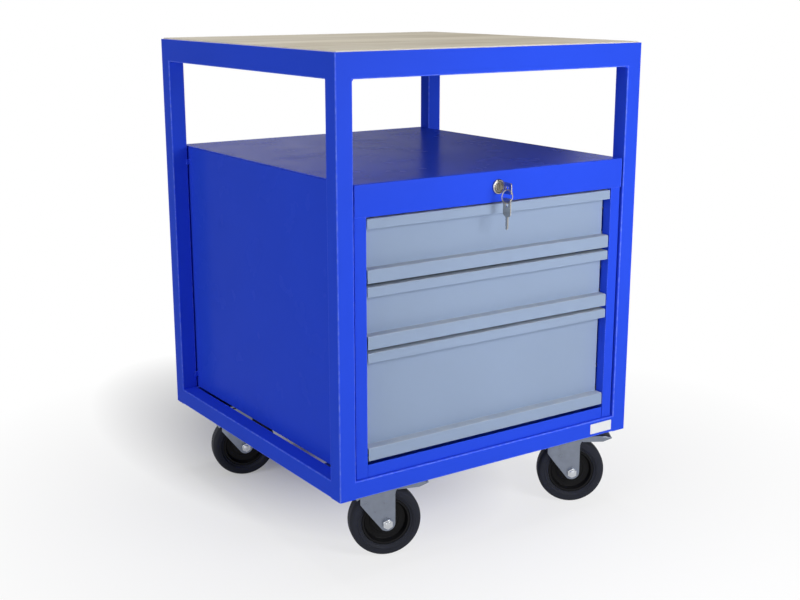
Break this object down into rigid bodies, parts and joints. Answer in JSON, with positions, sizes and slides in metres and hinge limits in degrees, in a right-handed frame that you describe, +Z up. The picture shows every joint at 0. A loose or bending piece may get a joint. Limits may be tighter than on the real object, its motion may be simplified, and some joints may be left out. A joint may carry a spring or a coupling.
{
  "type": "mobile workbench",
  "caption": "Mobile workbench: welded square-tube frame on swivel casters with brakes, inlaid wooden worktop, open shelf bay and a lockable sheet-metal drawer cabinet.",
  "frame": {"origin": "centre of the outline on the floor, keys included", "axes": "+X to the right as seen from the drawers, +Y to the rear, +Z up"},
  "size_m": [0.62, 0.6532, 0.8523],
  "materials": {
    "frame_paint": "semi-gloss powder coat",
    "cabinet_paint": "semi-gloss powder coat",
    "drawer_paint": "satin powder coat",
    "plywood": "sanded beech multiplex",
    "zinc": "bright zinc plate",
    "nickel": "nickel plate",
    "tyre": "moulded solid rubber",
    "hub_plastic": "moulded nylon"
  },
  "bodies": {
    "bench": {"post_front_left": "frame_paint", "post_front_right": "frame_paint", "post_rear_left": "frame_paint", "post_rear_right": "frame_paint", "bottom_rail_front": "frame_paint", "bottom_rail_rear": "frame_paint", "bottom_rail_left": "frame_paint", "bottom_rail_right": "frame_paint", "top_rail_front": "frame_paint", "top_rail_right": "frame_paint", "top_rail_rear": "frame_paint", "top_rail_left": "frame_paint", "worktop_board": "plywood", "cabinet_left_side": "cabinet_paint", "cabinet_right_side": "cabinet_paint", "cabinet_floor": "cabinet_paint", "cabinet_rear_panel": "cabinet_paint", "cabinet_top_cover": "cabinet_paint", "runner_lower_left_fixed": "zinc", "runner_lower_right_fixed": "zinc", "runner_middle_left_fixed": "zinc", "runner_middle_right_fixed": "zinc", "runner_upper_left_fixed": "zinc", "runner_upper_right_fixed": "zinc", "lock_housing": "nickel", "caster_plate_front_left": "zinc", "caster_plate_front_right": "zinc", "caster_plate_rear_left": "zinc", "caster_plate_rear_right": "zinc"},
    "drawer_lower": {"drawer_lower_box": "drawer_paint", "drawer_lower_front": "drawer_paint", "runner_lower_left_sliding": "zinc", "runner_lower_right_sliding": "zinc"},
    "drawer_middle": {"drawer_middle_box": "drawer_paint", "drawer_middle_front": "drawer_paint", "runner_middle_left_sliding": "zinc", "runner_middle_right_sliding": "zinc"},
    "drawer_upper": {"drawer_upper_box": "drawer_paint", "drawer_upper_front": "drawer_paint", "runner_upper_left_sliding": "zinc", "runner_upper_right_sliding": "zinc"},
    "plug": {"lock_plug": "nickel"},
    "key": {"key": "nickel"},
    "key_ring": {"key_ring": "nickel"},
    "spare_key": {"spare_key": "nickel"},
    "locking_bar": {"locking_bar": "zinc"},
    "caster_front_left": {"caster_fork_front_left": "zinc"},
    "wheel_front_left": {"caster_tyre_front_left": "tyre", "caster_hub_front_left": "hub_plastic"},
    "pedal_front_left": {"brake_pedal_front_left": "zinc"},
    "caster_front_right": {"caster_fork_front_right": "zinc"},
    "wheel_front_right": {"caster_tyre_front_right": "tyre", "caster_hub_front_right": "hub_plastic"},
    "pedal_front_right": {"brake_pedal_front_right": "zinc"},
    "caster_rear_left": {"caster_fork_rear_left": "zinc"},
    "wheel_rear_left": {"caster_tyre_rear_left": "tyre", "caster_hub_rear_left": "hub_plastic"},
    "caster_rear_right": {"caster_fork_rear_right": "zinc"},
    "wheel_rear_right": {"caster_tyre_rear_right": "tyre", "caster_hub_rear_right": "hub_plastic"}
  },
  "joints": [
    {"name": "drawer_lower_slide", "type": "slide", "parent": "bench", "child": "drawer_lower", "axis": [0, -1, 0], "range_m": [0, 0.4]},
    {"name": "drawer_middle_slide", "type": "slide", "parent": "bench", "child": "drawer_middle", "axis": [0, -1, 0], "range_m": [0, 0.4]},
    {"name": "drawer_upper_slide", "type": "slide", "parent": "bench", "child": "drawer_upper", "axis": [0, -1, 0], "range_m": [0, 0.4]},
    {"name": "plug_turn", "type": "hinge", "parent": "bench", "child": "plug", "pos_m": [0, -0.29, 0.6265], "axis": [0, 1, 0], "range_deg": [0, 90]},
    {"name": "locking_bar_lift", "type": "slide", "parent": "bench", "child": "locking_bar", "axis": [0, 0, -1], "range_m": [0, 0.012]},
    {"name": "key_pull", "type": "slide", "parent": "plug", "child": "key", "axis": [0, -1, 0], "range_m": [0, 0.024]},
    {"name": "ring_hang", "type": "hinge", "parent": "key", "child": "key_ring", "pos_m": [0, -0.31565, 0.61925], "axis": [0, 1, 0], "range_deg": [-85, 85]},
    {"name": "spare_key_swing", "type": "hinge", "parent": "key_ring", "child": "spare_key", "pos_m": [0, -0.31565, 0.60185], "axis": [1, 0, 0], "range_deg": [-60, 25]},
    {"name": "swivel_front_left", "type": "hinge", "parent": "bench", "child": "caster_front_left", "pos_m": [-0.21, -0.21135, 0.15], "axis": [0, 0, 1], "continuous": true},
    {"name": "wheel_spin_front_left", "type": "hinge", "parent": "caster_front_left", "child": "wheel_front_left", "pos_m": [-0.17993, -0.22229, 0.06231], "axis": [0.342, 0.9397, 0], "continuous": true},
    {"name": "brake_pedal_front_left", "type": "hinge", "parent": "caster_front_left", "child": "pedal_front_left", "pos_m": [-0.17993, -0.22229, 0.1315], "axis": [-0.342, -0.9397, 0], "range_deg": [0, 12]},
    {"name": "swivel_front_right", "type": "hinge", "parent": "bench", "child": "caster_front_right", "pos_m": [0.21, -0.21135, 0.15], "axis": [0, 0, 1], "continuous": true},
    {"name": "wheel_spin_front_right", "type": "hinge", "parent": "caster_front_right", "child": "wheel_front_right", "pos_m": [0.23684, -0.22878, 0.06231], "axis": [0.5446, 0.8387, 0], "continuous": true},
    {"name": "brake_pedal_front_right", "type": "hinge", "parent": "caster_front_right", "child": "pedal_front_right", "pos_m": [0.23684, -0.22878, 0.1315], "axis": [-0.5446, -0.8387, 0], "range_deg": [0, 12]},
    {"name": "swivel_rear_left", "type": "hinge", "parent": "bench", "child": "caster_rear_left", "pos_m": [-0.244, 0.24465, 0.15], "axis": [0, 0, 1], "continuous": true},
    {"name": "wheel_spin_rear_left", "type": "hinge", "parent": "caster_rear_left", "child": "wheel_rear_left", "pos_m": [-0.21295, 0.23691, 0.06231], "axis": [0.2419, 0.9703, 0], "continuous": true},
    {"name": "swivel_rear_right", "type": "hinge", "parent": "bench", "child": "caster_rear_right", "pos_m": [0.244, 0.24465, 0.15], "axis": [0, 0, 1], "continuous": true},
    {"name": "wheel_spin_rear_right", "type": "hinge", "parent": "caster_rear_right", "child": "wheel_rear_right", "pos_m": [0.23201, 0.21498, 0.06231], "axis": [0.9272, -0.3746, 0], "continuous": true}
  ],
  "couplings": [
    {"joint": "plug_turn", "follows": "locking_bar_lift", "rad_per_m": 130.9}
  ]
}
